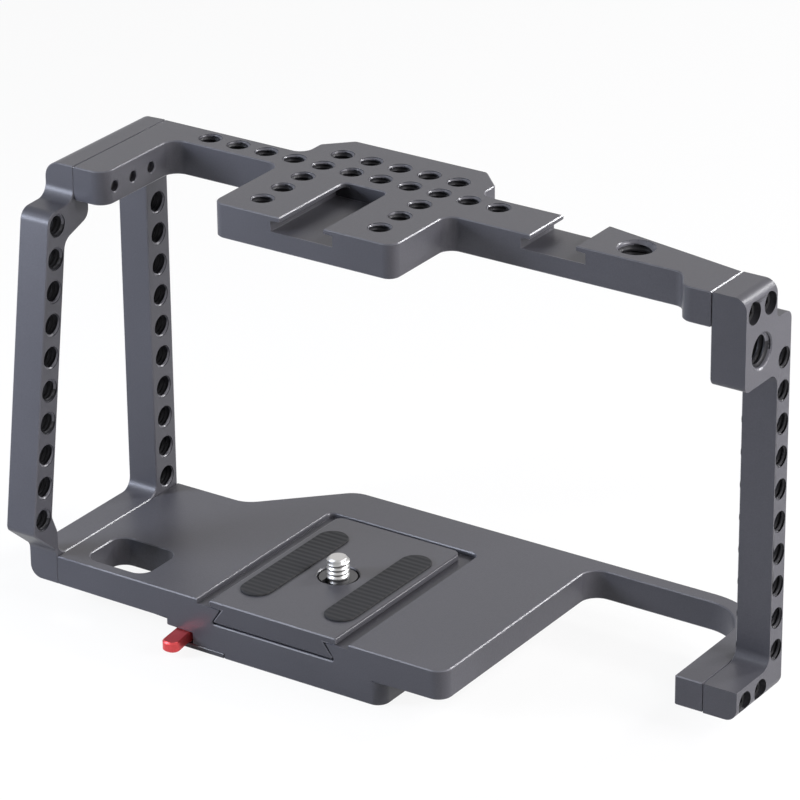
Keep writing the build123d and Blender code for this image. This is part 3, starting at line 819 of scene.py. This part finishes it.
# ---------------------------------------------------------------- stage
# Name, place, width, power in watts and colour of each soft box: one at the right, two behind at
# the left (cool), and two in front, for the top faces and the edges
SOFT_BOXES = (
    ("right_box", (0.6, 0.1, 0.3), 0.4, 7.0, (1.0, 0.98, 1.0)),
    ("rear_left_box", (-0.34, -0.3, 0.2), 0.15, 2.7, (0.8, 0.86, 1.0)),
    ("rear_high_box", (-0.5, -0.5, 0.75), 0.2, 1.8, (0.88, 0.93, 1.0)),
    ("front_left_box", (-0.8, 1.1, 0.9), 0.7, 0.8, (1.0, 0.93, 0.93)),
    ("front_right_box", (0.5, 0.9, 0.67), 0.2, 9.0, (1.0, 1.0, 1.0)),
)
LIT_POINT = Vector((0, 0, 0.06))
FLOOR_REACH = 6.0
FLOOR_WHITE = 0.9
WORLD_LIGHT = 0.02
SENSOR_MM = 36.0
SEEN_DEPTH = 50.0
WHITE = (1, 1, 1, 1)
SEES_WHITE = ("Is Camera Ray", "Is Glossy Ray", "Is Transmission Ray")


class CAGE_OT_stage(bpy.types.Operator):
    """Set the floor, the studio lights, the white surroundings and the camera"""

    bl_idname = "cage.stage"
    bl_label = "Studio"

    def execute(self, context):
        make_floor()
        make_lights()
        make_world()
        make_camera()
        context.scene.view_settings.view_transform = "Standard"
        return {"FINISHED"}


def make_floor():
    """Pale floor that shows white to the camera and keeps the cage's shadow."""
    bm = bmesh.new()
    bmesh.ops.create_grid(bm, x_segments=1, y_segments=1, size=FLOOR_REACH)
    mesh = bpy.data.meshes.new("floor")
    bm.to_mesh(mesh)
    bm.free()
    floor = bpy.data.objects.new("floor", mesh)
    bpy.context.scene.collection.objects.link(floor)
    s = Shader("pale_floor")
    s.set(Base_Color=(0.82, 0.82, 0.82, 1), Roughness=0.9)
    white = s.node("ShaderNodeEmission", None, {"Color": WHITE, "Strength": 1.0})
    seen, glossy, through = (s.node("ShaderNodeLightPath", output=ray) for ray in SEES_WHITE)
    share = (seen + glossy + through) * FLOOR_WHITE
    plain = Field(s, s.surface.outputs[0])
    mixed = s.node("ShaderNodeMixShader", None, {0: share, 1: plain, 2: white})
    s.feed(s.tree.nodes["Material Output"].inputs["Surface"], mixed)
    mesh.materials.append(s.material)


def make_lights():
    """The soft boxes, each turned to the cage."""
    for name, place, size, power, colour in SOFT_BOXES:
        lamp = bpy.data.lights.new(name, "AREA")
        lamp.size = size
        lamp.energy = power
        lamp.color = colour
        box = bpy.data.objects.new(name, lamp)
        box.location = place
        box.rotation_euler = (Vector(place) - LIT_POINT).to_track_quat("Z", "Y").to_euler()
        bpy.context.scene.collection.objects.link(box)


def make_world():
    """White to the camera and in reflections, dim and cool as a light."""
    world = bpy.data.worlds.new("studio")
    bpy.context.scene.world = world
    world.use_nodes = True
    tree = world.node_tree
    back = tree.nodes["Background"]
    back.inputs["Color"].default_value = (0.9, 0.93, 1.0, 1)
    back.inputs["Strength"].default_value = WORLD_LIGHT
    seen = tree.nodes.new("ShaderNodeBackground")
    seen.inputs["Color"].default_value = WHITE
    path = tree.nodes.new("ShaderNodeLightPath")
    share = path.outputs[SEES_WHITE[0]]
    for other in SEES_WHITE[1:]:
        add = tree.nodes.new("ShaderNodeMath")
        tree.links.new(share, add.inputs[0])
        tree.links.new(path.outputs[other], add.inputs[1])
        share = add.outputs[0]
    mix = tree.nodes.new("ShaderNodeMixShader")
    tree.links.new(share, mix.inputs["Fac"])
    tree.links.new(back.outputs[0], mix.inputs[1])
    tree.links.new(seen.outputs[0], mix.inputs[2])
    tree.links.new(mix.outputs[0], tree.nodes["World Output"].inputs["Surface"])


def make_camera():
    """Camera behind the cage, to the right and above, aimed at the middle of the view."""
    s = studio()
    flat = math.cos(s.elevation)
    back = Vector((math.sin(s.azimuth) * flat, -math.cos(s.azimuth) * flat, math.sin(s.elevation)))
    level = Vector((math.cos(s.azimuth), math.sin(s.azimuth), 0.0))
    across = level * math.cos(s.roll) + back.cross(level) * math.sin(s.roll)
    turn = Matrix((across, back.cross(across), back)).transposed().to_4x4()
    lens = bpy.data.cameras.new("view")
    lens.lens = s.lens
    lens.sensor_width = SENSOR_MM
    lens.clip_end = SEEN_DEPTH
    view = bpy.data.objects.new("view", lens)
    view.matrix_world = Matrix.Translation(Vector(s.aim) + back * s.distance) @ turn
    bpy.context.scene.collection.objects.link(view)
    bpy.context.scene.camera = view


# ---------------------------------------------------------------- panel and registration
STEPS = (CAGE_OT_stage, CAGE_OT_plates, CAGE_OT_release, CAGE_OT_lock, CAGE_OT_fasteners)
GROUPS = (("cage_finish", CageFinish), ("cage_detail", CageDetail), ("cage_stage", CageStage))


class CAGE_PT_panel(bpy.types.Panel):
    """Lists the steps that dress the cage"""

    bl_idname = "CAGE_PT_panel"
    bl_label = "Camera Cage"
    bl_space_type = "VIEW_3D"
    bl_region_type = "UI"
    bl_category = "Cage"

    def draw(self, context):
        for step in STEPS:
            self.layout.operator(step.bl_idname)


def register():
    for name, kind in GROUPS:
        bpy.utils.register_class(kind)
        setattr(bpy.types.Scene, name, PointerProperty(type=kind))
    for kind in STEPS + (CAGE_PT_panel,):
        bpy.utils.register_class(kind)


def unregister():
    for kind in (CAGE_PT_panel,) + STEPS[::-1]:
        bpy.utils.unregister_class(kind)
    for name, kind in GROUPS:
        delattr(bpy.types.Scene, name)
        bpy.utils.unregister_class(kind)


def main():
    register()
    for step in STEPS:
        group, name = step.bl_idname.split(".")
        if getattr(getattr(bpy.ops, group), name)() != {"FINISHED"}:
            raise RuntimeError("the step " + step.bl_label + " didn't finish")


if __name__ == "__main__":
    main()
